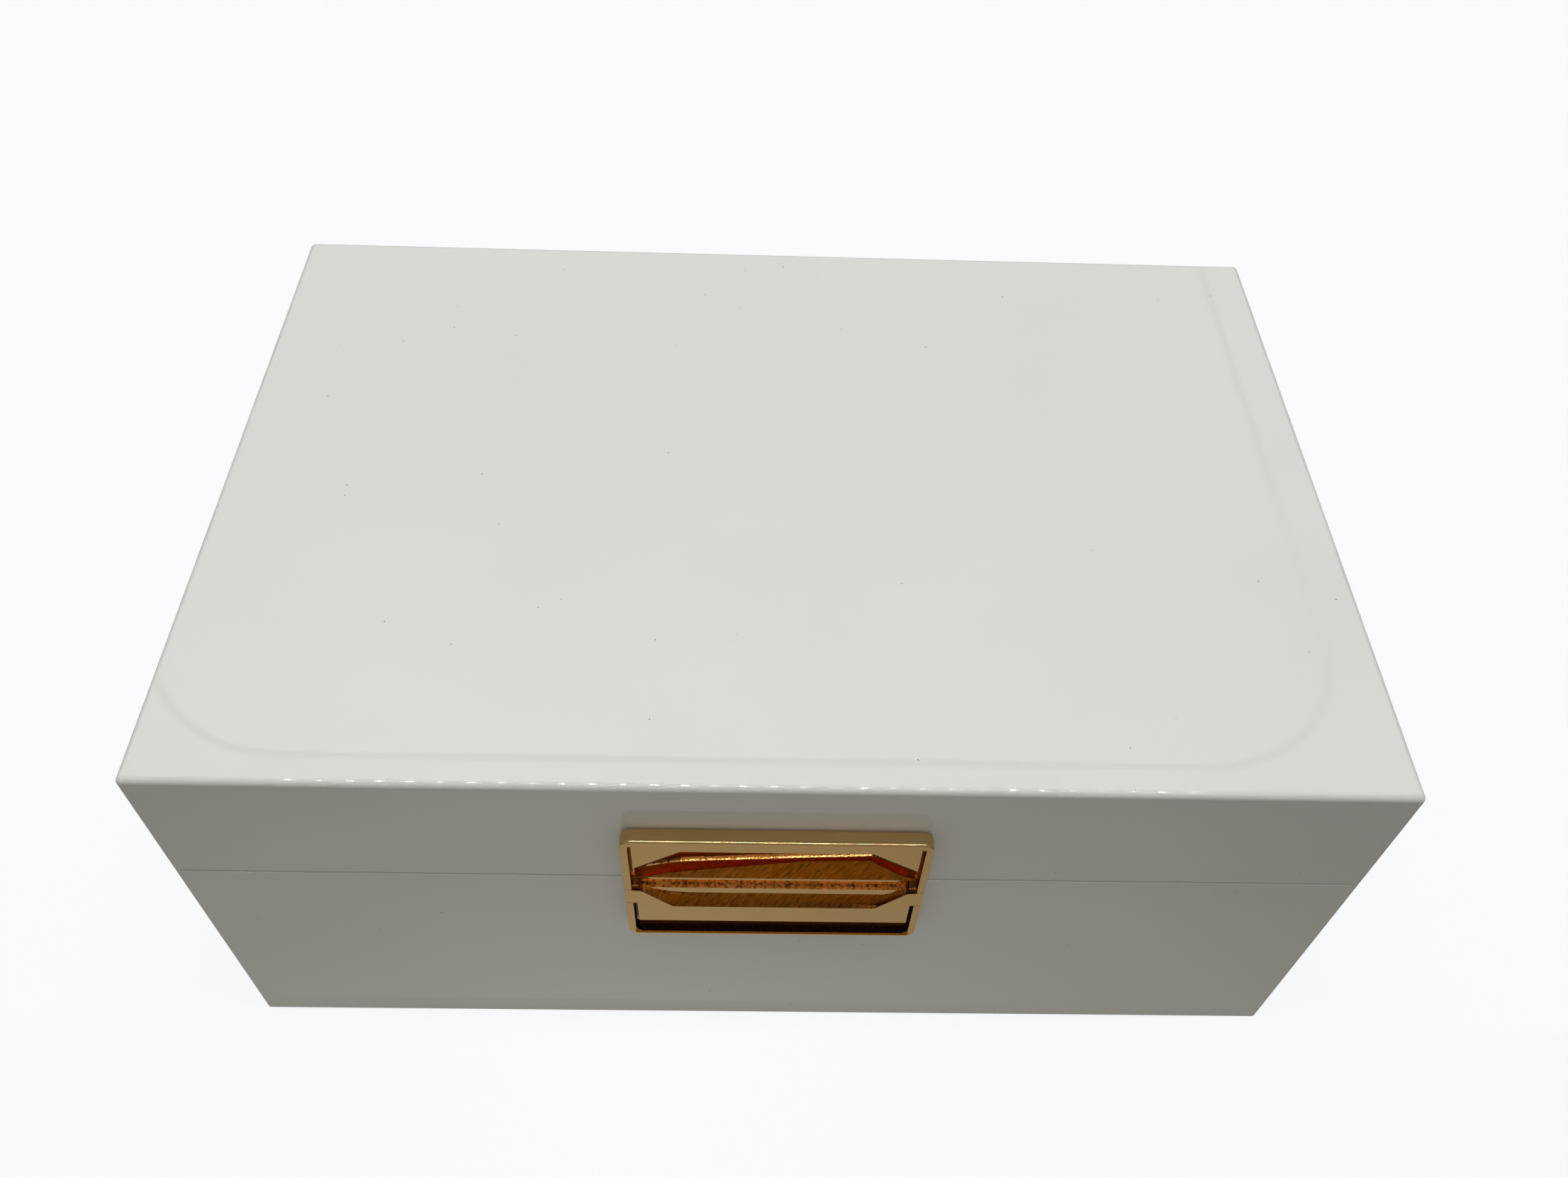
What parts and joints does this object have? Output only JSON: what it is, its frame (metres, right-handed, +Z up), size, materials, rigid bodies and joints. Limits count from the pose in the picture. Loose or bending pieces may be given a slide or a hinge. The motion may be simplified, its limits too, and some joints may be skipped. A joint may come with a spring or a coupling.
{
  "type": "jewellery box",
  "caption": "White lacquered jewellery box with a hinged lid, a gilt pull clasp across the seam and a lift-out tray.",
  "frame": {"origin": "on the table under the middle of the box's footprint", "axes": "+Z up, the front with the clasp faces -Y, +X to the right of someone facing the front"},
  "size_m": [0.24, 0.1713, 0.105],
  "materials": {
    "white_lacquer": "MDF under white high-gloss lacquer",
    "board": "bare MDF",
    "foot_suede": "suede paper",
    "lining_flock": "flocked board, short pile",
    "tray_flock": "flocked board, short pile",
    "roll_velvet": "velvet over foam",
    "satin_ribbon": "satin ribbon",
    "magnet_steel": "nickel plated",
    "black_felt": "black felt",
    "hinge_brass": "polished",
    "pin_steel": "drawn wire",
    "mirror_glass": "silvered glass",
    "gilt": "gilt plated zinc casting, polished faces and a brushed hollow",
    "nut_brass": "turned"
  },
  "bodies": {
    "base": {"base_shell": "white_lacquer", "base_bottom": "board", "base_foot_pad": "foot_suede", "base_lining_floor": "lining_flock", "base_lining_sides": "lining_flock", "tray_ledges": "lining_flock", "well_divider_long": "lining_flock", "well_divider_cross": "lining_flock", "base_magnets": "magnet_steel", "clasp_rest_pad": "black_felt", "hinge_base_leaves": "hinge_brass", "hinge_base_screws": "hinge_brass", "hinge_pins": "pin_steel"},
    "lid": {"lid_shell": "white_lacquer", "lid_magnets": "magnet_steel", "lid_lining": "lining_flock", "lid_mirror_frame": "lining_flock", "lid_mirror": "mirror_glass", "hinge_lid_leaves": "hinge_brass", "hinge_lid_screws": "hinge_brass", "clasp_frame": "gilt", "clasp_pins": "gilt", "clasp_nuts": "nut_brass"},
    "tab": {"clasp_tab": "gilt"},
    "tray": {"tray_shell": "tray_flock", "tray_divider_main": "tray_flock", "tray_divider_long": "tray_flock", "tray_divider_short": "tray_flock", "tray_ribbons": "satin_ribbon", "ring_roll_1": "roll_velvet", "ring_roll_2": "roll_velvet", "ring_roll_3": "roll_velvet", "ring_roll_4": "roll_velvet", "ring_roll_5": "roll_velvet", "ring_roll_6": "roll_velvet"}
  },
  "joints": [
    {"name": "lid_hinge", "type": "hinge", "parent": "base", "child": "lid", "pos_m": [0, 0.0822, 0.071], "axis": [-1, 0, 0], "range_deg": [0, 95]},
    {"name": "tab_pivot", "type": "hinge", "parent": "lid", "child": "tab", "pos_m": [0, -0.0825, 0.0716], "axis": [-1, 0, 0], "range_deg": [0, 40]},
    {"name": "tray_lift", "type": "slide", "parent": "base", "child": "tray", "axis": [0, 0, 1], "range_m": [0, 0.018]}
  ]
}
